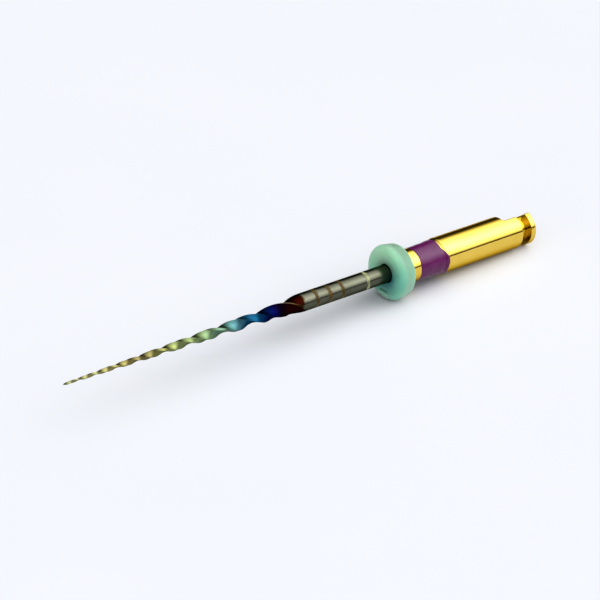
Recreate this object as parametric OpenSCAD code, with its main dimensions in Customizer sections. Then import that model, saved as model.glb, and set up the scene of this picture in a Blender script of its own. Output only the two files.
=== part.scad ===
// Rotary root-canal file with a latch-grip shank, lying along X.
// The tip points to -X. The origin is the centre of the shank's rear end face. Millimetres.
// Angles around the axis run from +Y towards +Z.

/* [Wire] */
// Length from the tip to the front face of the shank
working_l = 25; // [24:0.5:31]
// Diameter of the plain shaft behind the flutes
shaft_d = 1.156; // [0.9:0.002:1.4]
// Length of the wire's tang inside the shank
tang_l = 6; // [4:0.5:7.5]

/* [Flutes] */
// Distance from the tip to where the flutes have run out
flute_l = 17.2; // [14:0.05:17.3]
// Length over which the flutes run out
runout_l = 2.1; // [1:0.05:3]
// Distance from the flutes' end to where the cutting edges reach the shaft's diameter
widened_l = 0.85; // [0.3:0.05:1.2]
// Length over which the cutting edges widen to the shaft's diameter
widening_l = 0.9; // [0.4:0.05:1.5]
// Diameter across the cutting edges at the tip
tip_d = 0.14; // [0.08:0.002:0.3]
// Growth of that diameter for each millimetre from the tip
taper = 0.0503; // [0.03:0.0001:0.06]
// Length of the ground point
point_l = 0.22; // [0.1:0.01:0.6]
// Pitch of the twist at the tip
tip_pitch = 2.05; // [1.2:0.01:4]
// Growth of the pitch for each millimetre from the tip
pitch_growth = 0.238; // [0.05:0.001:0.4]
// Angle at the tip of the section's broad side
tip_angle = 154.8; // [0:0.2:360]
// Half the angle that the broad side spans at the tip, seen from the axis
broad_tip_angle = 32; // [18:0.5:40]
// Half the angle that the broad side spans near the shaft
broad_end_angle = 42; // [20:0.5:50]
// Half the angle that the nose side, opposite the broad side, spans at the tip
nose_tip_angle = 19.5; // [8:0.5:40]
// Half the angle that the nose side spans near the shaft
nose_end_angle = 3; // [2:0.5:40]
// Distance from the tip to where the section starts to change
change_t = 6.7; // [1:0.1:12]
// Crown of the two wide sides, as a share of the cutting edges' radius
crown = 0.075; // [0:0.005:0.15]

/* [Depth marks] */
// Distances from the tip to the middle of each mark
mark_at = [18, 19, 20, 22]; // [17.5:0.5:23]
// Width of a mark
mark_w = 0.13; // [0.08:0.01:0.3]
// Depth of a mark below the shaft's surface
mark_depth = 0.03; // [0.02:0.005:0.08]

/* [Shank] */
// Diameter of the latch-type shank
shank_d = 2.35; // [1.9:0.01:2.9]
// Length of the shank
shank_l = 10.52; // [9:0.01:15]
// Radial step from the shank down to the front flange
flange_step = 0.105; // [0.04:0.005:0.2]
// Length of the front flange
flange_l = 0.85; // [0.4:0.01:1.5]
// Bevel on the front flange's edge
flange_bevel = 0.08; // [0.03:0.01:0.15]
// Length of the shoulder between the colour band and the full diameter
shoulder_l = 0.28; // [0.1:0.01:0.6]
// Bevel on the rear end's edge
end_bevel = 0.07; // [0.03:0.01:0.15]

/* [Latch] */
// Thickness of the end disc
disc_l = 0.41; // [0.3:0.01:0.8]
// Width of the latch groove
groove_w = 0.73; // [0.5:0.01:1]
// Depth of the latch groove below the shank's surface
groove_depth = 0.35; // [0.2:0.01:0.45]
// Length of the drive flat, from the rear end
flat_l = 2.02; // [1.4:0.01:3]
// Distance from the axis to the drive flat
flat_h = 0.65; // [0.45:0.01:0.95]
// Radius in the drive flat's front corner
flat_fillet = 0.24; // [0.1:0.01:0.3]
// Lean of the drive flat from straight up, towards +Y
flat_lean = 40; // [0:1:90]

/* [Colour band] */
// Length of the band
band_l = 1.87; // [1:0.01:3]
// Thickness of the band at its front, where it is flush with the flange
band_depth = 0.1; // [0.05:0.01:0.2]
// Rise of the band's radius from front to rear
band_rise = 0.03; // [0.01:0.005:0.04]

/* [Stopper] */
// Diameter of the stopper's front edge
stopper_d = 3.58; // [2.6:0.02:4.6]
// Thickness of the stopper
stopper_l = 1.24; // [0.8:0.02:2]
// Draft of the rim, as the loss of radius from front to rear
stopper_draft = 0.1; // [0:0.01:0.2]
// Radius of the rim's front edge
front_round = 0.38; // [0.1:0.01:0.45]
// Radius of the rim's rear edge
rear_round = 0.28; // [0.1:0.01:0.4]
// Depth of the dish in the front face
dish_depth = 0.08; // [0:0.01:0.2]
// Length of the notch that shows the direction of a curve
notch_l = 0.75; // [0.4:0.01:0.9]
// Width of the notch
notch_w = 0.12; // [0.06:0.01:0.2]
// Depth of the notch
notch_depth = 0.22; // [0.1:0.01:0.4]
// Distance from the rim in to the notch
notch_inset = 0.6; // [0.15:0.01:0.7]
// Angle of the notch around the axis
notch_angle = -89; // [-180:1:180]

/* [Fits] */
// Radial clearance of the stopper on the shaft
stopper_fit = 0.03; // [0.01:0.005:0.1]
// Gap between the stopper at rest and the shank
stopper_gap = 0.04; // [0.02:0.01:0.2]
// Thickness of the adhesive around the tang
bond_t = 0.04; // [0.02:0.005:0.08]
// Depth of the adhesive behind the tang
bond_end = 0.15; // [0.05:0.01:0.4]

/* [Hidden] */

round_fn = 96;
overall_l = working_l + shank_l;
shaft_r = shaft_d / 2;
shank_r = shank_d / 2;
flange_r = shank_r - flange_step;
band_seat_r = flange_r - band_depth;
band_rear_r = flange_r + band_rise;
bore_r = shaft_r + bond_t;
groove_r = shank_r - groove_depth;
stopper_bore_r = shaft_r + stopper_fit;
stopper_rear_r = stopper_d / 2 - stopper_draft;
front_x = -shank_l;
band_x = front_x + flange_l;
shoulder_x = band_x + band_l;
stopper_rear_x = front_x - stopper_gap;
stopper_front_x = stopper_rear_x - stopper_l;
margin = 1;

// Rings of the blade: one for every step of the twist.
twist_step = 15;
side_steps = 6;
tip_rings = 4;
// The blade's last ring is buried in the shaft, a little under its surface.
blade_overlap = 0.3;
blade_skin = 0.004;

// X of a point at distance t from the tip
function at(t) = t - overall_l;

// Points of an arc in the plane of a turned profile, as [x, radius]
function arc(x, r, radius, from, to, steps = 6) =
    [for (i = [0:steps]) let (a = from + (to - from) * i / steps)
        [x + radius * cos(a), r + radius * sin(a)]];

// 0 before a, 1 after b, with a smooth rise between
function ease(t, a, b) = let (s = max(0, min(1, (t - a) / (b - a)))) s * s * (3 - 2 * s);

// A solid of revolution about X, from a profile of [x, radius] points
module turned(profile) {
    rotate([0, 90, 0])
        rotate_extrude($fn = round_fn)
            polygon([for (p = profile) [p[1], p[0]]]);
}

// A plain ring about X: inner radius, outer radius, start and length
module ring(inner, outer, x, length) {
    turned([[x, inner], [x, outer], [x + length, outer], [x + length, inner]]);
}

// Turns of the twist at distance t from the tip, as the pitch grows steadily
function turns(t) = ln(1 + pitch_growth * t / tip_pitch) / pitch_growth;

// Distance from the tip at a number of turns, the inverse of turns(t)
function reach(n) = tip_pitch * (exp(pitch_growth * n) - 1) / pitch_growth;

// Radius of the circle that the cutting edges lie on, widened to the shaft where the flutes run out
runout_t = flute_l - runout_l;
widened_t = flute_l - widened_l;
function edge_r(t) = let (
        ground = (tip_d + taper * t) / 2,
        s = ease(t, widened_t - widening_l, widened_t))
    min(shaft_r, ground * (1 - s) + shaft_r * s);

// The point narrows to a blunt end.
function point_scale(t) = t >= point_l ? 1 : 0.25 + 0.75 * sin(90 * t / point_l);

// Points of the blade's section for an edge radius of 1. Its four corners are the cutting edges. It is
// an oblong near the tip, and a triangle near the shaft, as the broad side grows and the nose side shrinks.
function section(t) = let (
        s = ease(t, change_t, flute_l),
        broad = broad_tip_angle * (1 - s) + broad_end_angle * s,
        nose = nose_tip_angle * (1 - s) + nose_end_angle * s,
        broad_corner = [cos(broad), sin(broad)],
        nose_corner = [-cos(nose), sin(nose)],
        wide = [for (i = [0:side_steps]) let (f = i / side_steps)
            broad_corner * (1 - f) + nose_corner * f + [0, 4 * crown * f * (1 - f)]])
    concat(
        [[cos(broad), 0]],
        wide,
        [[-cos(nose), 0]],
        [for (i = [side_steps:-1:0]) [wide[i].x, -wide[i].y]]
    );
ring_n = 2 * side_steps + 4;

// The section at t, turned by the twist. It fills out to the full circle at the run-out.
function blade_ring(t, skin = 0) = let (
        twist = tip_angle + 360 * turns(t),
        r = edge_r(t) * point_scale(t),
        s = ease(t, runout_t, flute_l))
    [for (p = section(t)) let (
            reach_r = r * (norm(p) * (1 - s) + s) - skin,
            a = atan2(p.y, p.x) + twist)
        [at(t), reach_r * cos(a), reach_r * sin(a)]];

// The twisted blade as one closed mesh, from the tip to inside the shaft's front end
module blade() {
    first_turn = turns(point_l);
    last_turn = turns(flute_l);
    steps = ceil((last_turn - first_turn) * 360 / twist_step);
    point_t = [for (i = [0:tip_rings - 1]) point_l * i / tip_rings];
    body_t = [for (i = [0:steps]) reach(first_turn + (last_turn - first_turn) * i / steps)];
    all_t = concat(point_t, body_t);
    rings = concat(
        [for (t = all_t) blade_ring(t, t > flute_l - 0.001 ? blade_skin : 0)],
        [blade_ring(flute_l + blade_overlap, blade_skin)]
    );
    last = len(rings) - 1;
    points = concat([for (one = rings) each one], [[at(0), 0, 0], [at(flute_l + blade_overlap), 0, 0]]);
    front_cap = [for (j = [0:ring_n - 1]) [(last + 1) * ring_n, j, (j + 1) % ring_n]];
    rear_cap = [for (j = [0:ring_n - 1])
        [(last + 1) * ring_n + 1, last * ring_n + (j + 1) % ring_n, last * ring_n + j]];
    sides = [for (i = [0:last - 1]) for (j = [0:ring_n - 1])
        let (a = i * ring_n + j, b = i * ring_n + (j + 1) % ring_n)
        each [[a, a + ring_n, b], [b, a + ring_n, b + ring_n]]];
    polyhedron(points = points, faces = concat(front_cap, sides, rear_cap));
}

// One piece of wire: fluted blade, plain shaft with shallow mark grooves, and tang
module file_wire() {
    color("#8a8c7c") {
        blade();
        difference() {
            turned([[at(flute_l), 0], [at(flute_l), shaft_r], [front_x + tang_l, shaft_r], [front_x + tang_l, 0]]);
            for (mark = mark_at)
                ring(shaft_r - mark_depth, shaft_r + margin, at(mark) - mark_w / 2, mark_w);
        }
    }
}

// A depth mark fills its groove flush with the shaft.
module depth_mark(mark, tint) {
    color(tint) ring(shaft_r - mark_depth, shaft_r, at(mark) - mark_w / 2, mark_w);
}

// Everything outside the drive flat: a block with a rounded front corner
module flat_cutter() {
    rotate([-flat_lean, 0, 0])
        translate([0, shank_d, flat_h])
            rotate([90, 0, 0])
                linear_extrude(height = 2 * shank_d)
                    polygon(concat(
                        [[margin, 0]],
                        [for (i = [0:6]) let (a = 270 - 90 * i / 6)
                            [-flat_l + flat_fillet * cos(a), flat_fillet + flat_fillet * sin(a)]],
                        [[-flat_l - flat_fillet, shank_d], [margin, shank_d]]
                    ));
}

// Turned shank with a seat for the band, a latch groove, a drive flat and a blind bore for the tang
module latch_shank() {
    groove_x = -disc_l - groove_w;
    color("#e8c33c") difference() {
        turned([
            [front_x, 0],
            [front_x, flange_r - flange_bevel],
            [front_x + flange_bevel, flange_r],
            [band_x, flange_r],
            [band_x, band_seat_r],
            [shoulder_x, band_seat_r],
            [shoulder_x, band_rear_r],
            [shoulder_x + shoulder_l, shank_r],
            [groove_x, shank_r],
            [groove_x, groove_r],
            [-disc_l, groove_r],
            [-disc_l, shank_r],
            [-end_bevel, shank_r],
            [0, shank_r - end_bevel],
            [0, 0]
        ]);
        flat_cutter();
        turned([
            [front_x - margin, 0],
            [front_x - margin, bore_r],
            [front_x + tang_l + bond_end, bore_r],
            [front_x + tang_l + bond_end, 0]
        ]);
    }
}

// Size-code band, flush with the front flange and with the shoulder behind it
module colour_band() {
    color("#5c1457") turned([
        [band_x, band_seat_r],
        [band_x, flange_r],
        [shoulder_x, band_rear_r],
        [shoulder_x, band_seat_r]
    ]);
}

// Adhesive that holds the tang in the shank's blind bore
module bond_sleeve() {
    tang_x = front_x + tang_l;
    color("#c9b98a") turned([
        [front_x, shaft_r],
        [front_x, bore_r],
        [tang_x + bond_end, bore_r],
        [tang_x + bond_end, 0],
        [tang_x, 0],
        [tang_x, shaft_r]
    ]);
}

// Silicone depth stop, a drafted disc with soft edges, a shallow dish and a direction notch
module stopper() {
    rim_r = stopper_d / 2;
    dish_r = rim_r - front_round;
    color("#86c9ad") difference() {
        turned(concat(
            [[stopper_front_x + dish_depth, stopper_bore_r]],
            arc(stopper_front_x + front_round, dish_r, front_round, 180, 90),
            arc(stopper_rear_x - rear_round, stopper_rear_r - rear_round, rear_round, 90, 0),
            [[stopper_rear_x, stopper_bore_r]]
        ));
        rotate([notch_angle, 0, 0])
            translate([stopper_front_x, rim_r - notch_inset, 0])
                cube([2 * notch_depth, notch_w, notch_l], center = true);
    }
}

file_wire();
latch_shank();
colour_band();
bond_sleeve();
stopper();
depth_mark(mark_at[0], "#8a6a20");  // depth_mark_18
depth_mark(mark_at[1], "#8a6a20");  // depth_mark_19
depth_mark(mark_at[2], "#8a6a20");  // depth_mark_20
depth_mark(mark_at[3], "#c8c880");  // depth_mark_22
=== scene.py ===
"""Rotary root-canal file with a gold latch-grip shank, on a pale table in soft studio light."""

import math
import bmesh
import bpy
from mathutils import Matrix, Vector, noise


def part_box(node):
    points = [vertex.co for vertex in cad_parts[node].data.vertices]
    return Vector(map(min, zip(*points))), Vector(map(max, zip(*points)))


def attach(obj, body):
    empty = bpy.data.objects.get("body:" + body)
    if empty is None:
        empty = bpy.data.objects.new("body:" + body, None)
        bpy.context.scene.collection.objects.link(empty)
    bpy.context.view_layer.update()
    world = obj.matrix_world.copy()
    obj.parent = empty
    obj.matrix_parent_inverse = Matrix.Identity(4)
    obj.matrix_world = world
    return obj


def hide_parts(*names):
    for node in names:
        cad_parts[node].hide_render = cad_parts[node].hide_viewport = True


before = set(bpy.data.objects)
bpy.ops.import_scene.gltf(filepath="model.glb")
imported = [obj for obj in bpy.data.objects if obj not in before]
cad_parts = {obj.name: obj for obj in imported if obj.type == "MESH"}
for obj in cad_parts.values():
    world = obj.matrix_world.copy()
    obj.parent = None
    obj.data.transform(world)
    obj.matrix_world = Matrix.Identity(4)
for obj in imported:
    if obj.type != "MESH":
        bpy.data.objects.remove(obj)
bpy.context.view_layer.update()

MM = 0.001

# ---------------------------------------------------------------- places from the frame, in mm


def box_mm(node):
    low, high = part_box(node)
    return low / MM, high / MM


WIRE_LOW, WIRE_HIGH = box_mm("file_wire")
SHANK_LOW, SHANK_HIGH = box_mm("latch_shank")
BAND_LOW, BAND_HIGH = box_mm("colour_band")
STOP_LOW, STOP_HIGH = box_mm("stopper")
BOND_LOW, BOND_HIGH = box_mm("bond_sleeve")

TIP_X = WIRE_LOW.x
TANG_X = WIRE_HIGH.x
FRONT_X = SHANK_LOW.x
REAR_X = SHANK_HIGH.x
SHAFT_R = -WIRE_LOW.z
SHANK_R = -SHANK_LOW.z
BORE_R = -BOND_LOW.z
BORE_END_X = BOND_HIGH.x
BAND_X = BAND_LOW.x
SHOULDER_X = BAND_HIGH.x
STOP_FRONT_X = STOP_LOW.x
STOP_REAR_X = STOP_HIGH.x
STOP_R = -STOP_LOW.z

# ---------------------------------------------------------------- design sizes, in mm and degrees

FLUTE_L = 17.2
RUNOUT_L = 2.1
WIDENED_L = 0.85
WIDENING_L = 0.9
TIP_D = 0.14
TAPER = 0.0503
POINT_L = 0.22
TIP_PITCH = 2.05
PITCH_GROWTH = 0.238
TIP_ANGLE = 154.8
BROAD_TIP_ANGLE = 32
BROAD_END_ANGLE = 42
NOSE_TIP_ANGLE = 19.5
NOSE_END_ANGLE = 3
CHANGE_T = 6.7
CROWN = 0.075

MARK_DEPTH = 0.03
FLANGE_STEP = 0.105
BAND_DEPTH = 0.1
BAND_RISE = 0.03
SHOULDER_L = 0.28
DISC_L = 0.41
GROOVE_W = 0.73
GROOVE_DEPTH = 0.35
FLAT_L = 2.02
FLAT_H = 0.65
FLAT_FILLET = 0.24
FLAT_LEAN = 40
STOP_FIT = 0.03
STOP_DRAFT = 0.1
STOP_FRONT_ROUND = 0.38
STOP_REAR_ROUND = 0.28
DISH_DEPTH = 0.08
NOTCH_L = 0.75
NOTCH_W = 0.12
NOTCH_DEPTH = 0.22
NOTCH_INSET = 0.6
NOTCH_ANGLE = -89

FLANGE_R = SHANK_R - FLANGE_STEP
SEAT_R = FLANGE_R - BAND_DEPTH
BAND_REAR_R = FLANGE_R + BAND_RISE
GROOVE_R = SHANK_R - GROOVE_DEPTH

# ---------------------------------------------------------------- mesh helpers


def add_mesh(name, points_mm, faces, sharp_deg=32):
    """A smooth-shaded mesh object from points in millimetres; edges over sharp_deg stay crisp."""
    mesh = bpy.data.meshes.new(name)
    mesh.from_pydata([tuple(c * MM for c in p) for p in points_mm], [], faces)
    mesh.update()
    mesh.polygons.foreach_set("use_smooth", [True] * len(mesh.polygons))
    mesh.set_sharp_from_angle(angle=math.radians(sharp_deg))
    obj = bpy.data.objects.new(name, mesh)
    bpy.context.scene.collection.objects.link(obj)
    return obj


def skin(name, rings, poles=None, sharp_deg=32):
    """Quads between neighbouring rings. poles closes the two ends with a fan to each pole point;
    without poles the last ring joins the first, as on a ring-shaped piece."""
    n = len(rings[0])
    points = [p for ring in rings for p in ring]
    faces = []
    spans = len(rings) - 1 if poles else len(rings)
    for i in range(spans):
        a, b = i * n, ((i + 1) % len(rings)) * n
        for j in range(n):
            k = (j + 1) % n
            faces.append((a + j, a + k, b + k, b + j))
    if poles:
        first, last = len(points), len(points) + 1
        points += list(poles)
        tail = (len(rings) - 1) * n
        for j in range(n):
            k = (j + 1) % n
            faces.append((first, k, j))
            faces.append((last, tail + j, tail + k))
    return add_mesh(name, points, faces, sharp_deg)


def round_corners(profile, steps=5):
    """Rounds the corners of a profile of (x, r, radius) points; radius 0 keeps one sharp."""
    out = []
    for i, (x, r, radius) in enumerate(profile):
        if radius == 0 or i in (0, len(profile) - 1):
            out.append((x, r))
            continue
        here = Vector((x, r))
        before = Vector(profile[i - 1][:2]) - here
        after = Vector(profile[i + 1][:2]) - here
        angle = before.angle(after)
        cut = radius / math.tan(angle / 2)
        cut = min(cut, before.length * 0.49, after.length * 0.49)
        start = here + before.normalized() * cut
        end = here + after.normalized() * cut
        for k in range(steps + 1):
            s = k / steps
            out.append(tuple((1 - s) ** 2 * start + 2 * s * (1 - s) * here + s * s * end))
    return out


def refine(profile, longest):
    """Splits long stretches of a profile so that no step is longer than longest."""
    out = [profile[0]]
    for a, b in zip(profile, profile[1:]):
        length = math.dist(a, b)
        pieces = max(1, math.ceil(length / longest))
        for k in range(1, pieces + 1):
            s = k / pieces
            out.append(tuple(p + (q - p) * s for p, q in zip(a, b)))
    return out


def circle_ring(x, r, count):
    """Points of a circle about the file's axis, from +Y towards +Z."""
    return [
        (x, r * math.cos(2 * math.pi * j / count), r * math.sin(2 * math.pi * j / count))
        for j in range(count)
    ]


def ease(value, low, high):
    """A smooth step from 0 at low to 1 at high."""
    s = max(0.0, min(1.0, (value - low) / (high - low)))
    return s * s * (3 - 2 * s)


# ---------------------------------------------------------------- wire: blade, shaft and tang

RUNOUT_T = FLUTE_L - RUNOUT_L
WIDENED_T = FLUTE_L - WIDENED_L
# Degrees of twist between rings, and points along the wide and narrow sides of the section
TWIST_STEP = 4
WIDE_STEPS = 22
NARROW_STEPS = 8
# How far the honed corners stand inside their circle, as a share of its radius
EDGE_ROUND = 0.035
# Rings along the pointed end, and the length over which the points spread out behind the flutes
POINT_RINGS = 6
SETTLE_L = 1.2
# Stretches, from the tip, over which the nose side brightens and the uncut metal turns grey
LAND_GROWS = (9, 15)
BARE_STARTS = (15.8, 16.6)


def turns(t):
    """Turns of the twist at t mm from the tip."""
    return math.log(1 + PITCH_GROWTH * t / TIP_PITCH) / PITCH_GROWTH


def reach(count):
    """Distance from the tip at a number of turns."""
    return TIP_PITCH * (math.exp(PITCH_GROWTH * count) - 1) / PITCH_GROWTH


def edge_radius(t):
    """Radius of the circle that the cutting edges lie on."""
    ground = (TIP_D + TAPER * t) / 2
    s = ease(t, WIDENED_T - WIDENING_L, WIDENED_T)
    return min(SHAFT_R, ground * (1 - s) + SHAFT_R * s)


def point_scale(t):
    """How far the rounded point has grown to the full section at t mm from the tip."""
    return 1.0 if t >= POINT_L else 0.25 + 0.75 * math.sin(math.pi / 2 * t / POINT_L)


def packed(count, low, high):
    """Places from low to high, closer together near both ends, without the last one."""
    return [low + (high - low) * (0.5 - 0.5 * math.cos(math.pi * k / count)) for k in range(count)]


def section(t):
    """Points of the blade's section for an edge radius of 1: a broad corner side, two wide crowned
    flute sides and a nose side, each point with 1 on the nose side and 0 elsewhere."""
    s = ease(t, CHANGE_T, FLUTE_L)
    broad = math.radians(BROAD_TIP_ANGLE * (1 - s) + BROAD_END_ANGLE * s)
    nose = math.radians(NOSE_TIP_ANGLE * (1 - s) + NOSE_END_ANGLE * s)
    b = Vector((math.cos(broad), math.sin(broad)))
    n = Vector((-math.cos(nose), math.sin(nose)))
    points = [(Vector((b.x, y)), 0) for y in packed(NARROW_STEPS, -b.y, b.y)]
    for f in packed(WIDE_STEPS, 0, 1):
        points.append((b.lerp(n, f) + Vector((0, 4 * CROWN * f * (1 - f))), 0))
    points += [(Vector((n.x, y)), 1) for y in packed(NARROW_STEPS, n.y, -n.y)]
    for f in packed(WIDE_STEPS, 1, 0):
        p = b.lerp(n, f) + Vector((0, 4 * CROWN * f * (1 - f)))
        points.append((Vector((p.x, -p.y)), 0))
    return points


def blade_ring(t):
    """The blade's twisted section at t mm from the tip, filling out to the round shaft."""
    r = edge_radius(t) * point_scale(t)
    s = ease(t, RUNOUT_T, FLUTE_L)
    twist = math.radians(TIP_ANGLE) + 2 * math.pi * turns(t)
    ring = []
    for p, _ in section(t):
        # the cutting edges are honed, so the corners stand a hair inside their circle
        far = min(p.length, 1 - EDGE_ROUND * ease(p.length, 0.9, 1.0) * 0.5)
        out = r * (far * (1 - s) + s)
        a = math.atan2(p.y, p.x) + twist
        ring.append((TIP_X + t, out * math.cos(a), out * math.sin(a)))
    return ring


def make_wire():
    """The wire: twisted blade, plain shaft with seats for the marks, and hidden tang."""
    rings = []
    first, last = turns(POINT_L), turns(FLUTE_L)
    count = math.ceil((last - first) * 360 / TWIST_STEP)
    stations = [POINT_L * (k + 0.5) / POINT_RINGS for k in range(POINT_RINGS)]
    stations += [reach(first + (last - first) * k / count) for k in range(count + 1)]
    for t in stations:
        rings.append(blade_ring(t))
    around = [math.atan2(z, y) for _, y, z in rings[-1]]
    # plain shaft, with a shallow seat for each depth mark
    profile = [(TIP_X + FLUTE_L + 0.1, SHAFT_R, 0)]
    for mark in sorted(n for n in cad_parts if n.startswith("depth_mark")):
        low, high = box_mm(mark)
        profile += [
            (low.x, SHAFT_R, 0.004),
            (low.x, SHAFT_R - MARK_DEPTH, 0.004),
            (high.x, SHAFT_R - MARK_DEPTH, 0.004),
            (high.x, SHAFT_R, 0.004),
        ]
    profile += [(TANG_X, SHAFT_R, 0.05), (TANG_X, SHAFT_R * 0.5, 0)]
    # behind the flutes, the points spread out evenly around the shaft
    start = around[0]
    places = [(a - start) % (2 * math.pi) + start for a in around]
    even = [start + 2 * math.pi * j / len(around) for j in range(len(around))]
    for x, r in refine(round_corners(profile, 2), 0.25):
        s = ease(x, TIP_X + FLUTE_L, TIP_X + FLUTE_L + SETTLE_L)
        angles = [a * (1 - s) + e * s for a, e in zip(places, even)]
        rings.append([(x, r * math.cos(a), r * math.sin(a)) for a in angles])
    wire = skin("wire", rings, poles=((TIP_X, 0, 0), (TANG_X, 0, 0)), sharp_deg=28)
    # land marks the nose side, which the finishing cut leaves brighter towards the shaft; bare marks
    # the round surface that the flutes haven't cut, which keeps the shaft's grey
    lands, bares = [], []
    for t in stations:
        s = ease(t, RUNOUT_T, FLUTE_L)
        for p, flag in section(t):
            lands.append(flag * (0.1 + 0.9 * ease(t, *LAND_GROWS)))
            depth = (1 - p.length) * (1 - s)
            bares.append(ease(t, *BARE_STARTS) * (1 - ease(depth, 0.004, 0.03)))
    spare = len(wire.data.vertices) - len(lands)
    for name, values, rest in (("land", lands, 0.0), ("bare", bares, 1.0)):
        attribute = wire.data.attributes.new(name, "FLOAT", "POINT")
        attribute.data.foreach_set("value", values + [rest] * spare)
    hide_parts("file_wire")
    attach(wire, "instrument")
    return wire


# ---------------------------------------------------------------- depth marks

# How far the burnt edge of a mark spreads beyond its line, and how uneven that edge is
MARK_SPREAD = 0.045
MARK_RAGGED = 0.05
# Thickness of the film, and the points around it
MARK_FILM = 0.003
MARK_SIDES = 96


def make_mark(node, seed):
    """A thin ring flush with the shaft, whose edges wander a little."""
    low, high = box_mm(node)
    middle = (low.x + high.x) / 2
    half = (high.x - low.x) / 2
    floor = SHAFT_R - MARK_DEPTH + 0.001
    under = SHAFT_R - MARK_FILM / 2
    top = SHAFT_R + MARK_FILM / 2
    # a stem in the shaft's groove, under a thin film that spreads a little beyond it
    path = [(-1, False, floor), (-1, False, under), (-1, True, under), (-1, True, top)]
    path.append((0, True, top))
    path += [(1, film, r) for _, film, r in reversed(path[:4])]
    rings = []
    for side, film, r in path:
        ring = []
        for j in range(MARK_SIDES):
            a = 2 * math.pi * j / MARK_SIDES
            spot = Vector((math.cos(a), math.sin(a), seed)) * 3
            wander = MARK_RAGGED * noise.noise(spot + Vector((0, 0, side)))
            reach = half + MARK_SPREAD + wander if film else half * 0.98
            ring.append((middle + side * reach, r * math.cos(a), r * math.sin(a)))
        rings.append(ring)
    mark = skin(node + "_ring", rings, sharp_deg=50)
    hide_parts(node)
    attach(mark, "instrument")
    return mark


# ---------------------------------------------------------------- shank

# The shoulder behind the band: a short step with soft corners, drawn as (x, radius)
SHOULDER_PATH = (
    (SHOULDER_X, BAND_REAR_R),
    (SHOULDER_X + SHOULDER_L * 0.3, BAND_REAR_R + 0.006),
    (SHOULDER_X + SHOULDER_L * 0.72, SHANK_R - 0.012),
    (SHOULDER_X + SHOULDER_L, SHANK_R),
)
SHANK_SIDES = 256
# Width of the softened edge around the drive flat
EDGE_SOFTNESS = 0.09
# Width of the roll-over at the top of the flat's front wall
WALL_ROUND = 0.04
# Radius of the small rings that close the shank's two ends
CENTRE_R = 0.02
WELD_DISTANCE = 0.00002
FLAT_NORMAL = Vector((0, math.sin(math.radians(FLAT_LEAN)), math.cos(math.radians(FLAT_LEAN))))


def flat_height(x):
    """Distance from the axis to the drive flat at x, or a large value in front of it."""
    start = REAR_X - FLAT_L
    if x >= start:
        return FLAT_H - 0.03 * ease(x, REAR_X - 0.03, REAR_X)
    s = (start - x) / FLAT_FILLET
    if s < 1:
        return FLAT_H + FLAT_FILLET * (1 - math.sqrt(1 - s * s))
    return SHANK_R * 2


def cut_flat(point, height):
    """Draws a point in towards the axis if it lies outside the drive flat, with a softened edge."""
    place = Vector(point)
    outward = place.dot(FLAT_NORMAL)
    if outward <= 0:
        return point
    r = math.hypot(place.y, place.z)
    limit = height * r / outward
    overlap = max(EDGE_SOFTNESS - abs(r - limit), 0)
    scale = (min(r, limit) - overlap**2 / (4 * EDGE_SOFTNESS)) / r
    return (place.x, place.y * scale, place.z * scale)


def weld(piece):
    """Joins points that lie on each other and drops the faces that collapse between them."""
    mesh = bmesh.new()
    mesh.from_mesh(piece.data)
    bmesh.ops.remove_doubles(mesh, verts=mesh.verts, dist=WELD_DISTANCE * MM)
    bmesh.ops.dissolve_degenerate(mesh, edges=mesh.edges, dist=WELD_DISTANCE * MM)
    mesh.to_mesh(piece.data)
    mesh.free()


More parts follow.
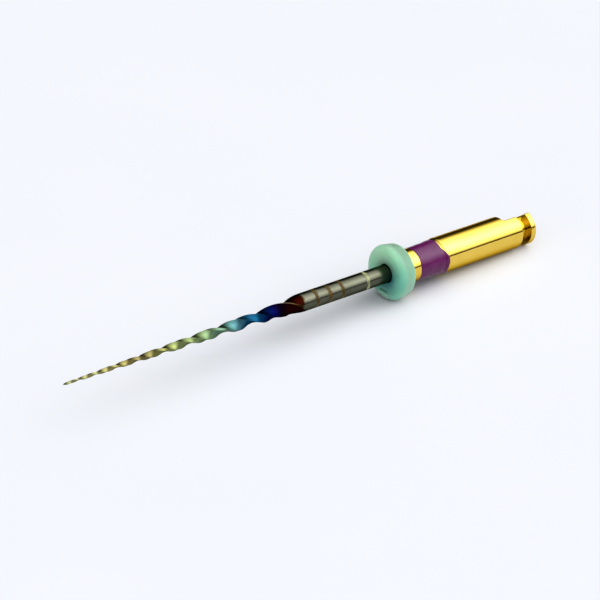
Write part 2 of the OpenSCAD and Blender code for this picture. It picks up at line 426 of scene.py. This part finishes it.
def make_shank():
    """The turned shank: bore, flange, band seat, shoulder, body, latch groove, disc and flat."""
    groove_x = REAR_X - DISC_L - GROOVE_W
    outline = [
        (BORE_END_X, CENTRE_R, 0),
        (BORE_END_X, BORE_R, 0),
        (FRONT_X, BORE_R, 0.02),
        (FRONT_X, FLANGE_R, 0.09),
        (BAND_X, FLANGE_R, 0.012),
        (BAND_X, SEAT_R, 0),
        (SHOULDER_X, SEAT_R, 0),
        *[(x, r, 0.02 if i else 0.006) for i, (x, r) in enumerate(SHOULDER_PATH)],
        (groove_x, SHANK_R, 0.03),
        (groove_x, GROOVE_R, 0.04),
        (REAR_X - DISC_L, GROOVE_R, 0.04),
        (REAR_X - DISC_L, SHANK_R, 0.03),
        (REAR_X, SHANK_R, 0.09),
        (REAR_X, CENTRE_R, 0),
    ]
    stations = []
    for x, r in refine(round_corners(outline, 6), 0.16):
        stations.append((x, r, flat_height(x)))
    # the flat's front wall stands square to the axis, so it needs rings of its own
    wall_x = REAR_X - FLAT_L - FLAT_FILLET
    wall_low = FLAT_H + FLAT_FILLET
    wall_end = REAR_X - FLAT_L
    kept = []
    for x, r, height in stations:
        if r <= GROOVE_R or not wall_x - 0.05 <= x <= wall_end + 0.02:
            kept.append((x, r, height))
    cut_at = next(i for i, (x, r, _) in enumerate(kept) if x > wall_x and r > GROOVE_R)
    wall = []
    for k in range(7):
        a = math.pi / 2 * k / 6
        x = wall_x - WALL_ROUND * (1 - math.sin(a))
        wall.append((x, SHANK_R, SHANK_R + 0.03 - 0.07 * (1 - math.cos(a))))
    wall_high = SHANK_R - WALL_ROUND
    for k in range(1, 8):
        wall.append((wall_x, SHANK_R, wall_high + (wall_low - wall_high) * k / 7))
    for k in range(1, 13):
        x = wall_x + FLAT_FILLET * (1 - math.cos(math.pi / 2 * k / 12))
        x = min(x, wall_end - 1e-6)
        wall.append((x, SHANK_R, flat_height(x)))
    stations = kept[:cut_at] + wall + kept[cut_at:]
    rings = []
    for x, r, height in stations:
        ring = circle_ring(x, r, SHANK_SIDES)
        if x > wall_x - 0.045 and r > BORE_R * 0.5:
            ring = [cut_flat(p, height) for p in ring]
        rings.append(ring)
    ends = ((BORE_END_X, 0, 0), (REAR_X, 0, 0))
    shank = skin("shank", rings, poles=ends, sharp_deg=30)
    # painted shade: the latch groove and the bore are marked for a darker colour, as in the shade of
    # their walls
    values = []
    for x, r, _ in stations:
        in_groove = groove_x < x < REAR_X - DISC_L and r < SHANK_R - 0.05
        in_bore = r < BORE_R + 0.01 and x < BORE_END_X + 0.01
        values += [1.0 if in_groove or in_bore else 0.0] * SHANK_SIDES
    values += [0.0] * (len(shank.data.vertices) - len(values))
    shank.data.attributes.new("recess_shade", "FLOAT", "POINT").data.foreach_set("value", values)
    weld(shank)
    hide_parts("latch_shank")
    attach(shank, "instrument")
    return shank


# ---------------------------------------------------------------- colour band

# Thickness of the coat, and how much thicker it gathers against the shoulder
PAINT = 0.014
PAINT_FILL = 0.03
# Points around the band, and rings along its seat and over the shoulder
BAND_SIDES = 192
BAND_RINGS = 18
OVER_RINGS = 10


def paint_edge(angle):
    """How far behind the shoulder's front edge the brushed-on colour reaches, around the axis.
    It leaves the shoulder bare above and runs over it below."""
    covered = 0.5 - 0.5 * math.cos(angle - math.radians(62))
    covered = ease(covered, 0.22, 0.62)
    spot = Vector((math.cos(angle), math.sin(angle), 4.2))
    wander = 0.05 * noise.noise(spot * 2.2) + 0.02 * noise.noise(spot * 7)
    return max(0.012, 0.02 + 0.36 * covered + wander * (0.3 + covered))


def surface_radius(x):
    """Outer radius of the metal behind the band."""
    for (x0, r0), (x1, r1) in zip(SHOULDER_PATH, SHOULDER_PATH[1:]):
        if x <= x1:
            return r0 + (r1 - r0) * max(0.0, (x - x0) / (x1 - x0))
    return SHANK_R


def paint_lump(x, angle):
    """Unevenness of the brushed-on coat."""
    spot = Vector((x * 1.1, math.cos(angle) * 1.3, math.sin(angle) * 1.3))
    return 0.016 * noise.noise(spot * 1.6 + Vector((3, 1, 8)))


def make_band():
    """The purple size band: a coat in the turned seat whose rear edge wanders over the shoulder."""
    strips = []
    for j in range(BAND_SIDES):
        a = 2 * math.pi * j / BAND_SIDES
        edge = SHOULDER_X + paint_edge(a)
        path = [(BAND_X + 0.002, SEAT_R + 0.002), (BAND_X + 0.002, FLANGE_R - 0.012)]
        for k in range(BAND_RINGS + 1):
            s = k / BAND_RINGS
            x = BAND_X + 0.012 + (SHOULDER_X - BAND_X - 0.012) * s
            bulge = 0.006 * math.sin(math.pi * s)
            lump = paint_lump(x, a) * ease(s, 0, 0.1)
            fill = PAINT_FILL * ease(s, 0.55, 1)
            coat = PAINT * ease(s, 0, 0.08) * 0.6 + bulge + lump + fill
            path.append((x, FLANGE_R + BAND_RISE * s + coat))
        for k in range(1, OVER_RINGS + 1):
            s = k / OVER_RINGS
            x = SHOULDER_X + (edge - SHOULDER_X) * s
            thick = PAINT * (0.6 + 0.4 * s) * math.sqrt(max(0.0, 1 - (s * 0.98) ** 6))
            lump = paint_lump(SHOULDER_X, a) * (1 - s)
            fill = PAINT_FILL * (1 - s) ** 2
            path.append((x, surface_radius(x) + thick + lump + fill))
        for k in range(OVER_RINGS, -1, -1):
            s = k / OVER_RINGS
            x = SHOULDER_X + (edge - SHOULDER_X) * s
            path.append((x, surface_radius(x) - 0.004))
        path.append((SHOULDER_X - 0.002, SEAT_R + 0.002))
        strips.append([(x, r * math.cos(a), r * math.sin(a)) for x, r in path])
    rings = [list(ring) for ring in zip(*strips)]
    band = skin("band", rings, sharp_deg=40)
    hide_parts("colour_band")
    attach(band, "instrument")
    return band


# ---------------------------------------------------------------- adhesive and stopper

BOND_SIDES = 96
STOP_SIDES = 288
# Small roundings at the two ends of the stopper's bore
BORE_ROUND = 0.05
BORE_REAR_ROUND = 0.02
# Rings across the dished face, and the height of the moulding's unevenness
DISH_RINGS = 34
UNEVENNESS = 0.008


def make_bond():
    """Adhesive sleeve around the tang, with a small meniscus at the shank's face."""
    profile = [
        (FRONT_X + 0.004, SHAFT_R + 0.001, 0),
        (FRONT_X - 0.012, SHAFT_R + 0.001, 0.002),
        (FRONT_X + 0.006, BORE_R - 0.001, 0.004),
        (BORE_END_X - 0.002, BORE_R - 0.001, 0.01),
        (BORE_END_X - 0.002, CENTRE_R, 0),
    ]
    inner = [(TANG_X + 0.001, CENTRE_R), (TANG_X + 0.001, SHAFT_R + 0.001)]
    path = refine(round_corners(profile, 3), 0.8) + inner
    rings = [circle_ring(x, r, BOND_SIDES) for x, r in path]
    bond = skin("bond", rings, sharp_deg=40)
    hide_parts("bond_sleeve")
    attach(bond, "instrument")
    return bond


def arc(x, r, radius, start, end, steps):
    """Points of an arc about (x, r), with its angles in degrees."""
    out = []
    for k in range(steps + 1):
        a = math.radians(start + (end - start) * k / steps)
        out.append((x + radius * math.cos(a), r + radius * math.sin(a)))
    return out


def make_stopper():
    """Moulded silicone disc: soft edges, a drafted rim, a shallow dish and a narrow notch."""
    bore = SHAFT_R + STOP_FIT
    rear_r = STOP_R - STOP_DRAFT
    dish_r = STOP_R - STOP_FRONT_ROUND
    bore_x = STOP_FRONT_X + DISH_DEPTH + BORE_ROUND
    dish_low = bore + BORE_ROUND
    path = [(STOP_REAR_X - BORE_REAR_ROUND, bore), (bore_x, bore)]
    path += arc(bore_x, dish_low, BORE_ROUND, 270, 180, 4)[1:]
    for k in range(1, DISH_RINGS):
        s = k / DISH_RINGS
        r = dish_low + (dish_r - dish_low) * s
        path.append((STOP_FRONT_X + DISH_DEPTH * 0.5 * (1 + math.cos(math.pi * s)), r))
    path += arc(STOP_FRONT_X + STOP_FRONT_ROUND, dish_r, STOP_FRONT_ROUND, 180, 90, 22)
    flat_r = rear_r - STOP_REAR_ROUND
    path += arc(STOP_REAR_X - STOP_REAR_ROUND, flat_r, STOP_REAR_ROUND, 90, 0, 14)
    path += [(STOP_REAR_X, flat_r - 0.2 * k) for k in (1, 2, 3)]
    rear_x = STOP_REAR_X - BORE_REAR_ROUND
    path += arc(rear_x, bore + BORE_REAR_ROUND, BORE_REAR_ROUND, 0, -90, 3)[:-1]
    notch = math.radians(NOTCH_ANGLE)
    notch_dir = Vector((0, math.cos(notch), math.sin(notch)))
    notch_side = Vector((0, -notch_dir.z, notch_dir.y))
    notch_r = STOP_R - NOTCH_INSET
    rings = []
    for x, r in path:
        ring = []
        for j in range(STOP_SIDES):
            a = 2 * math.pi * j / STOP_SIDES
            p = Vector((x, r * math.cos(a), r * math.sin(a)))
            across = abs(p.dot(notch_dir) - notch_r)
            along = abs(p.dot(notch_side))
            in_width = 1 - ease(across, NOTCH_W * 0.25, NOTCH_W * 0.75)
            in_length = 1 - ease(along, NOTCH_L * 0.42, NOTCH_L * 0.52)
            front = ease(x, STOP_FRONT_X + 0.3, STOP_FRONT_X + 0.15)
            p.x += NOTCH_DEPTH * in_width * in_length * front
            lump = UNEVENNESS * noise.noise(p * 1.4 + Vector((7, 3, 1))) * ease(r, bore, bore + 0.3)
            p += Vector((0.4, p.y / r, p.z / r)) * lump
            ring.append(tuple(p))
        rings.append(ring)
    stopper = skin("stop_disc", rings, sharp_deg=60)
    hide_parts("stopper")
    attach(stopper, "depth_stop")
    return stopper


# ---------------------------------------------------------------- materials


# Places of the colour sockets on a Mix node
MIX_FACTOR = 0
MIX_A = 6
MIX_B = 7
MIX_RESULT = 2


class Nodes:
    """A short way to build a node tree."""

    def __init__(self, tree):
        self.tree = tree
        tree.nodes.clear()

    def add(self, kind, **settings):
        node = self.tree.nodes.new(kind)
        for key, value in settings.items():
            setattr(node, key, value)
        return node

    def link(self, a, b):
        self.tree.links.new(a, b)

    def math(self, operation, a, b=None, clamp=False):
        node = self.add("ShaderNodeMath", operation=operation, use_clamp=clamp)
        for socket, value in zip(node.inputs, (a, b)):
            if value is None:
                continue
            if isinstance(value, (int, float)):
                socket.default_value = value
            else:
                self.link(value, socket)
        return node.outputs[0]

    def ramp(self, value, stops, interpolation="LINEAR"):
        node = self.add("ShaderNodeValToRGB")
        elements = node.color_ramp.elements
        node.color_ramp.interpolation = interpolation
        elements[0].position, elements[0].color = stops[0][0], (*stops[0][1], 1)
        elements[1].position, elements[1].color = stops[-1][0], (*stops[-1][1], 1)
        for place, colour in stops[1:-1]:
            elements.new(place).color = (*colour, 1)
        self.link(value, node.inputs[0])
        return node.outputs[0]

    def spread(self, value, low, high, to_low=0.0, to_high=1.0):
        node = self.add("ShaderNodeMapRange")
        self.link(value, node.inputs["Value"])
        limits = (("From Min", low), ("From Max", high), ("To Min", to_low), ("To Max", to_high))
        for name, number in limits:
            node.inputs[name].default_value = number
        return node.outputs["Result"]

    def noise(self, scale, detail=3.0, stretch=(1, 1, 1), rough=0.5):
        """Noise in object space, in cycles per millimetre."""
        place = self.add("ShaderNodeMapping")
        place.inputs["Scale"].default_value = tuple(s / MM for s in stretch)
        self.link(self.object_coordinates(), place.inputs["Vector"])
        node = self.add("ShaderNodeTexNoise")
        node.inputs["Scale"].default_value = scale
        node.inputs["Detail"].default_value = detail
        node.inputs["Roughness"].default_value = rough
        self.link(place.outputs[0], node.inputs["Vector"])
        return node.outputs["Fac"]

    def object_coordinates(self):
        return self.add("ShaderNodeTexCoord").outputs["Object"]

    def place_mm(self):
        """The point's x, y and z in object space, in millimetres."""
        split = self.add("ShaderNodeSeparateXYZ")
        self.link(self.object_coordinates(), split.inputs[0])
        return [self.math("DIVIDE", split.outputs[axis], MM) for axis in "XYZ"]

    def mix(self, factor, a, b, blend="MIX"):
        node = self.add("ShaderNodeMix", data_type="RGBA", blend_type=blend)
        sockets = (node.inputs[MIX_FACTOR], node.inputs[MIX_A], node.inputs[MIX_B])
        for socket, value in zip(sockets, (factor, a, b)):
            if isinstance(value, (int, float)):
                socket.default_value = value
            elif isinstance(value, tuple):
                socket.default_value = (*value, 1)
            else:
                self.link(value, socket)
        return node.outputs[MIX_RESULT]

    def bump(self, height, strength, distance_mm):
        node = self.add("ShaderNodeBump")
        node.inputs["Strength"].default_value = strength
        node.inputs["Distance"].default_value = distance_mm * MM
        self.link(height, node.inputs["Height"])
        return node.outputs["Normal"]


def new_material(name, **principled):
    """A material with one Principled shader; keywords set its sockets, with _ for a space."""
    material = bpy.data.materials.new(name)
    material.use_nodes = True
    nodes = Nodes(material.node_tree)
    shader = nodes.add("ShaderNodeBsdfPrincipled")
    out = nodes.add("ShaderNodeOutputMaterial")
    nodes.link(shader.outputs[0], out.inputs[0])
    for key, value in principled.items():
        socket = shader.inputs[key.replace("_", " ")]
        socket.default_value = (*value, 1) if socket.type == "RGBA" else value
    return material, nodes, shader


# Base colours of the heat-tinted blade by distance from the tip
HEAT_TINTS = (
    (0.0, (0.20, 0.21, 0.10)),
    (2.0, (0.27, 0.26, 0.12)),
    (3.9, (0.27, 0.245, 0.088)),
    (5.2, (0.19, 0.16, 0.075)),
    (6.4, (0.20, 0.19, 0.070)),
    (7.5, (0.235, 0.265, 0.105)),
    (9.0, (0.20, 0.255, 0.115)),
    (10.4, (0.165, 0.26, 0.15)),
    (11.4, (0.09, 0.20, 0.165)),
    (12.2, (0.085, 0.21, 0.255)),
    (12.9, (0.012, 0.065, 0.12)),
    (13.6, (0.007, 0.072, 0.145)),
    (14.3, (0.003, 0.022, 0.095)),
    (14.9, (0.002, 0.003, 0.05)),
    (15.4, (0.004, 0.001, 0.012)),
    (16.0, (0.022, 0.002, 0.002)),
    (17.2, (0.022, 0.003, 0.001)),
)
TINT_SPAN = 17.2
# How strongly the brighter finish of the nose side shows, and its colour
LAND_SHARE = 0.5
LAND_COLOUR = (0.20, 0.17, 0.09)
# Where the heat colour gives out on the round metal, from the tip, and how uneven its edge is
HEAT_REACH = 17.08
HEAT_RAGGED = 0.16


def niti_material():
    """Ground nickel-titanium: heat-tint colours along the flutes, grey turned metal behind."""
    material, n, shader = new_material(
        "heat_tinted_niti", Metallic=1.0, Specular_Tint=(0.35, 0.35, 0.30)
    )
    x, _, _ = n.place_mm()
    along = n.spread(x, TIP_X, TIP_X + TINT_SPAN)
    drift = n.math("MULTIPLY", n.math("SUBTRACT", n.noise(0.9, 3), 0.5), 0.05)
    tints = [(t / TINT_SPAN, colour) for t, colour in HEAT_TINTS]
    tint = n.ramp(n.math("ADD", along, drift), tints)
    land = n.add("ShaderNodeAttribute", attribute_name="land").outputs["Fac"]
    bare = n.add("ShaderNodeAttribute", attribute_name="bare").outputs["Fac"]
    cloud = n.noise(1.3, 3)
    steel = n.ramp(cloud, [(0.3, (0.098, 0.100, 0.072)), (0.7, (0.112, 0.116, 0.088))])
    tinted = n.mix(n.math("MULTIPLY", land, LAND_SHARE), tint, LAND_COLOUR)
    blotch = n.noise(2.2, 4, rough=0.6)
    shade = n.ramp(blotch, [(0.3, (0.74, 0.76, 0.78)), (0.7, (1.14, 1.12, 1.08))])
    tinted = n.mix(1.0, tinted, shade, "MULTIPLY")
    # the heat reached a little past the flutes, in a ragged amber edge on the round metal
    ragged = n.spread(n.noise(2.6, 3, rough=0.6), 0.3, 0.7, -HEAT_RAGGED, HEAT_RAGGED)
    from_tip = n.math("ADD", n.math("SUBTRACT", x, TIP_X), ragged)
    burnt = n.spread(from_tip, HEAT_REACH, HEAT_REACH - 0.12)
    grey = n.mix(burnt, steel, (0.036, 0.016, 0.004))
    n.link(n.mix(bare, tinted, grey), shader.inputs["Base Color"])
    rings = n.noise(1.0, 2, stretch=(60, 0.6, 0.6))
    streaks = n.noise(1.0, 3, stretch=(22, 22, 22), rough=0.7)
    polish = n.spread(bare, 0.0, 1.0, 0.34, 0.13)
    lines = n.spread(rings, 0.3, 0.7, 0.0, 0.07)
    grain = n.math("ADD", lines, n.spread(streaks, 0.3, 0.7, -0.03, 0.04))
    n.link(n.math("ADD", polish, grain), shader.inputs["Roughness"])
    height = n.math("ADD", rings, n.math("MULTIPLY", streaks, 0.4))
    n.link(n.bump(height, 0.35, 0.004), shader.inputs["Normal"])
    return material


def gold_material():
    """Polished gold plate over turned brass: fine turning lines, with painted shade in its recesses.
    """
    material, n, shader = new_material(
        "gold_plated_brass", Metallic=1.0, Specular_Tint=(0.55, 0.43, 0.24)
    )
    turning = n.noise(1.0, 3, stretch=(45, 0.35, 0.35), rough=0.6)
    scratches = n.noise(1.0, 4, stretch=(2.2, 26, 26), rough=0.75)
    broad = n.noise(0.8, 3)
    tone = n.ramp(broad, [(0.3, (0.755, 0.535, 0.100)), (0.7, (0.795, 0.57, 0.122))])
    wear = n.ramp(scratches, [(0.66, (1.0, 1.0, 1.0)), (0.78, (0.86, 0.80, 0.66))])
    # painted shade: the marked recesses get a darker amber and olive colour
    recess_shade = n.add("ShaderNodeAttribute", attribute_name="recess_shade").outputs["Fac"]
    recess_shade_share = n.math("MULTIPLY", recess_shade, n.spread(n.noise(1.1, 3, rough=0.6), 0.3, 0.7, 0.55, 1.0))
    worn = n.mix(1.0, tone, wear, "MULTIPLY")
    recess_shade_colour = n.ramp(n.noise(1.6, 2), [(0.35, (0.42, 0.20, 0.010)), (0.65, (0.48, 0.36, 0.014))])
    n.link(n.mix(recess_shade_share, worn, recess_shade_colour), shader.inputs["Base Color"])
    polish = n.spread(turning, 0.3, 0.7, 0.06, 0.11)
    rough = n.math("ADD", polish, n.spread(broad, 0.3, 0.7, -0.01, 0.02))
    n.link(rough, shader.inputs["Roughness"])
    height = n.math("ADD", n.math("MULTIPLY", turning, 0.5), n.math("MULTIPLY", scratches, 0.25))
    n.link(n.bump(height, 0.22, 0.003), shader.inputs["Normal"])
    return material


def enamel_material():
    """Brushed-on purple code colour: glossy, slightly uneven, with tiny dust nibs."""
    material, n, shader = new_material("purple_code_enamel", IOR=1.42)
    cloud = n.noise(1.6, 4, rough=0.6)
    colour = n.ramp(cloud, [(0.3, (0.085, 0.003, 0.062)), (0.7, (0.115, 0.006, 0.090))])
    n.link(colour, shader.inputs["Base Color"])
    nibs = n.noise(9.0, 2, rough=0.5)
    n.link(n.spread(cloud, 0.3, 0.7, 0.18, 0.28), shader.inputs["Roughness"])
    height = n.math("ADD", n.math("MULTIPLY", cloud, 0.8), n.math("MULTIPLY", nibs, 0.15))
    n.link(n.bump(height, 0.45, 0.03), shader.inputs["Normal"])
    return material


# Painted light and shade over the stopper's face and rim: share of the full colour, from its lower
# side to its upper one
FACE_PAINTED_LIGHT = (
    (0.0, (0.47, 0.54, 0.52)),
    (0.28, (0.31, 0.55, 0.54)),
    (0.55, (0.53, 0.64, 0.61)),
    (0.8, (0.80, 0.79, 0.71)),
    (1.0, (0.86, 0.76, 0.72)),
)
SIDE_PAINTED_LIGHT = (
    (0.0, (0.55, 0.48, 0.46)),
    (0.3, (0.46, 0.47, 0.43)),
    (0.6, (0.37, 0.40, 0.37)),
    (0.85, (0.33, 0.33, 0.295)),
    (1.0, (0.42, 0.41, 0.37)),
)
# The direction in (y, z) that the painted light rises in, and how far it goes each way
PAINTED_LIGHT_UP = (0.45, 0.89)
PAINTED_LIGHT_REACH = 1.7
# Where the face's colours give way to the rim's, behind the front face
FACE_END = 0.02
SIDE_START = 0.46
# The painted shade around the bore: its middle below the axis, in (y, z), and where it starts and
# ends
SHADE_OFFSET = (0.12, 0.14)
SHADE_START = 0.5
SHADE_END = 1.25
# The painted light on the lip between the notch and the rim: half its width, where it starts, its
# depth and paleness
LIP_HALF = 0.4
LIP_TOP = -1.24
LIP_DEPTH = 0.55
LIP_LIGHT_SHARE = 0.8


def silicone_material():
    """Translucent mint silicone with a satin skin, faint moulding haze and dust; its upper rim and
    the lip by the notch have painted light, and its lower rim and the face around the bore painted
    shade.
    """
    material, n, shader = new_material(
        "mint_silicone",
        Subsurface_Weight=1.0,
        Subsurface_Scale=0.9 * MM,
        Subsurface_Radius=(0.6, 1.0, 0.85),
        IOR=1.41,
    )
    haze = n.noise(0.9, 4, rough=0.6)
    specks = n.noise(14.0, 2, rough=0.4)
    colour = n.ramp(haze, [(0.3, (0.50, 0.87, 0.68)), (0.7, (0.58, 0.97, 0.77))])
    dust = n.ramp(specks, [(0.70, (1.0, 1.0, 1.0)), (0.80, (0.82, 0.86, 0.84))])
    x, y, z = n.place_mm()
    # painted light and shade: the upper rim is painted lighter and the lower one darker
    lit = n.math("ADD", n.math("MULTIPLY", y, PAINTED_LIGHT_UP[0]), n.math("MULTIPLY", z, PAINTED_LIGHT_UP[1]))
    height = n.spread(lit, -PAINTED_LIGHT_REACH, PAINTED_LIGHT_REACH)
    face = n.ramp(height, FACE_PAINTED_LIGHT, "B_SPLINE")
    side = n.ramp(height, SIDE_PAINTED_LIGHT, "B_SPLINE")
    turn = n.spread(x, STOP_FRONT_X + FACE_END, STOP_FRONT_X + SIDE_START)
    painted_light = n.mix(turn, face, side)
    # painted shade around the bore, centred a little below the axis, for the dark shaft showing
    # through the silicone and its shadow on the face
    across = n.math("ADD", y, SHADE_OFFSET[0])
    upward = n.math("ADD", z, SHADE_OFFSET[1])
    squares = n.math("ADD", n.math("MULTIPLY", across, across), n.math("MULTIPLY", upward, upward))
    radius = n.math("ADD", n.math("SQRT", squares), n.spread(haze, 0.3, 0.7, -0.06, 0.06))
    bore_shade_colour = n.mix(n.spread(lit, -0.5, 0.5), (0.08, 0.38, 0.52), (0.05, 0.22, 0.11))
    fade = [(0.0, (1, 1, 1)), (0.4, (0.5, 0.5, 0.5)), (1.0, (0, 0, 0))]
    around = n.ramp(n.spread(radius, SHADE_START, SHADE_END), fade, "B_SPLINE")
    depth = n.mix(around, (1.0, 1.0, 1.0), bore_shade_colour)
    clear = n.mix(1.0, n.mix(1.0, colour, painted_light, "MULTIPLY"), depth, "MULTIPLY")
    # painted light: the thin lip outside the notch is painted paler, for the light that passes
    # through it
    middle = n.spread(n.math("ABSOLUTE", y), LIP_HALF + 0.2, LIP_HALF - 0.1)
    below = n.spread(z, LIP_TOP, LIP_TOP - 0.12)
    front = n.spread(x, STOP_FRONT_X + LIP_DEPTH, STOP_FRONT_X + LIP_DEPTH - 0.3)
    lip_painted_light = n.math("MULTIPLY", n.math("MULTIPLY", middle, below), front)
    clear = n.mix(n.math("MULTIPLY", lip_painted_light, LIP_LIGHT_SHARE), clear, (0.40, 0.62, 0.48))
    n.link(n.mix(1.0, clear, dust, "MULTIPLY"), shader.inputs["Base Color"])
    n.link(n.spread(haze, 0.3, 0.7, 0.36, 0.50), shader.inputs["Roughness"])
    skin_height = n.math("ADD", n.math("MULTIPLY", haze, 0.6), n.noise(22.0, 3))
    n.link(n.bump(skin_height, 0.12, 0.006), shader.inputs["Normal"])
    return material


def mark_material(name, dark, light):
    """Oxide colour of a depth mark, mottled along its ring."""
    material, n, shader = new_material(name, Metallic=0.55)
    mottle = n.noise(2.6, 4, rough=0.65)
    n.link(n.ramp(mottle, [(0.32, dark), (0.68, light)]), shader.inputs["Base Color"])
    n.link(n.spread(mottle, 0.3, 0.7, 0.34, 0.5), shader.inputs["Roughness"])
    n.link(n.bump(mottle, 0.2, 0.004), shader.inputs["Normal"])
    return material


def adhesive_material():
    """Cured epoxy, amber and slightly cloudy."""
    material, n, shader = new_material("cured_epoxy", IOR=1.5)
    cloud = n.noise(3.0, 3)
    colour = n.ramp(cloud, [(0.3, (0.42, 0.32, 0.14)), (0.7, (0.60, 0.48, 0.24))])
    n.link(colour, shader.inputs["Base Color"])
    n.link(n.spread(cloud, 0.3, 0.7, 0.35, 0.5), shader.inputs["Roughness"])
    n.link(n.bump(cloud, 0.2, 0.01), shader.inputs["Normal"])
    return material


def table_material():
    """Plain white table sheet with a very faint mottle."""
    material, n, shader = new_material("white_table", Roughness=0.7, Specular_IOR_Level=0.2)
    colour = n.ramp(n.noise(0.05, 3), [(0.3, (0.62, 0.635, 0.672)), (0.7, (0.632, 0.645, 0.678))])
    n.link(colour, shader.inputs["Base Color"])
    return material


# ---------------------------------------------------------------- the pieces

make_wire().data.materials.append(niti_material())
make_shank().data.materials.append(gold_material())
make_band().data.materials.append(enamel_material())
make_bond().data.materials.append(adhesive_material())
make_stopper().data.materials.append(silicone_material())

dark_mark = mark_material("amber_mark", (0.020, 0.012, 0.001), (0.105, 0.064, 0.004))
pale_mark = mark_material("straw_mark", (0.05, 0.06, 0.025), (0.40, 0.41, 0.22))
for index, node in enumerate(("depth_mark_18", "depth_mark_19", "depth_mark_20", "depth_mark_22")):
    mark = make_mark(node, index * 1.7)
    mark.data.materials.append(pale_mark if node.endswith("22") else dark_mark)

# ---------------------------------------------------------------- table, camera and light

# The file rests on the stopper's rim and on the shank's rear edge, with its tip in the air.
HEEL_INSET = 0.1
TABLE_HALF = 2.5
rim = Vector((STOP_FRONT_X + STOP_FRONT_ROUND, 0, -STOP_R))
heel = Vector((REAR_X - HEEL_INSET, 0, -SHANK_R))
run = (heel - rim).normalized()
table_normal = Vector((-run.z, 0, run.x))
table_spin = Vector((0, 0, 1)).rotation_difference(table_normal).to_matrix()

table_mesh = bpy.data.meshes.new("table")
corners = [(-1, -1), (1, -1), (1, 1), (-1, 1)]
table_points = [(x * TABLE_HALF, y * TABLE_HALF, 0) for x, y in corners]
table_mesh.from_pydata(table_points, [], [(0, 1, 2, 3)])
table = bpy.data.objects.new("table", table_mesh)
bpy.context.scene.collection.objects.link(table)
table.matrix_world = Matrix.Translation((rim + heel) / 2 * MM) @ table_spin.to_4x4()
table_mesh.materials.append(table_material())

# The camera looks down over the tip, with the shank going away to the right.
VIEW_BEARING = 38.5
VIEW_DROP = 30.5
VIEW_DISTANCE = 147.0
VIEW_LENS = 144.0
LOOK_AT = Vector((-16.96, 1.82, -1.08))

bearing = math.radians(VIEW_BEARING)
drop = math.radians(VIEW_DROP)
level = math.cos(drop)
sight = table_spin @ Vector((math.sin(bearing) * level, math.cos(bearing) * level, -math.sin(drop)))
side = sight.cross(table_normal).normalized()
camera_axes = Matrix((side, side.cross(sight), -sight)).transposed()
camera = bpy.data.objects.new("camera", bpy.data.cameras.new("camera"))
bpy.context.scene.collection.objects.link(camera)
camera.data.lens = VIEW_LENS
camera.data.sensor_width = 36
camera.data.clip_start = 0.005
camera.data.clip_end = 20
eye = (LOOK_AT - sight * VIEW_DISTANCE) * MM
camera.matrix_world = Matrix.Translation(eye) @ camera_axes.to_4x4()
bpy.context.scene.camera = camera

# A soft tent along the file: dark behind it, brightest a little to the camera's side of straight up,
# with a thin dark gap just above the table on the near side. It is brightest towards the shank's end.
# TENT_STOPS are degrees around the file, from level behind it, with the brightness there.
TENT_PEAK = 3.9
TENT_CENTRE = 0.56
TENT_REACH = 0.35
TENT_LOW = 0.42
TENT_STOPS = (
    (0, 0.04),
    (34, 0.05),
    (44, 0.3),
    (56, 1.1),
    (70, 1.8),
    (85, 2.3),
    (100, 3.0),
    (114, 3.7),
    (127, 3.9),
    (139, 3.1),
    (150, 2.2),
    (160, 1.5),
    (167, 0.9),
    (171, 0.04),
    (180, 0.04),
)

world = bpy.data.worlds.new("studio")
bpy.context.scene.world = world
world.use_nodes = True
w = Nodes(world.node_tree)
direction = w.add("ShaderNodeTexCoord").outputs["Generated"]
parts = w.add("ShaderNodeSeparateXYZ")
w.link(direction, parts.inputs[0])
round_axis = w.math("ARCTAN2", parts.outputs["Z"], parts.outputs["Y"])
share = w.math("DIVIDE", round_axis, math.pi)
tent = w.ramp(share, [(angle / 180, (bright / TENT_PEAK,) * 3) for angle, bright in TENT_STOPS])
off_centre = w.math("DIVIDE", w.math("SUBTRACT", parts.outputs["X"], TENT_CENTRE), TENT_REACH)
lobe = w.math("EXPONENT", w.math("MULTIPLY", w.math("MULTIPLY", off_centre, off_centre), -1.0))
lobe = w.math("ADD", w.math("MULTIPLY", lobe, 1 - TENT_LOW), TENT_LOW)
light = w.add("ShaderNodeBackground")
w.link(w.math("MULTIPLY", lobe, TENT_PEAK), light.inputs["Strength"])
w.link(tent, light.inputs["Color"])
w.link(light.outputs[0], w.add("ShaderNodeOutputWorld").inputs[0])

bpy.context.scene.view_settings.view_transform = "Standard"
bpy.context.scene.view_settings.look = "Medium High Contrast"
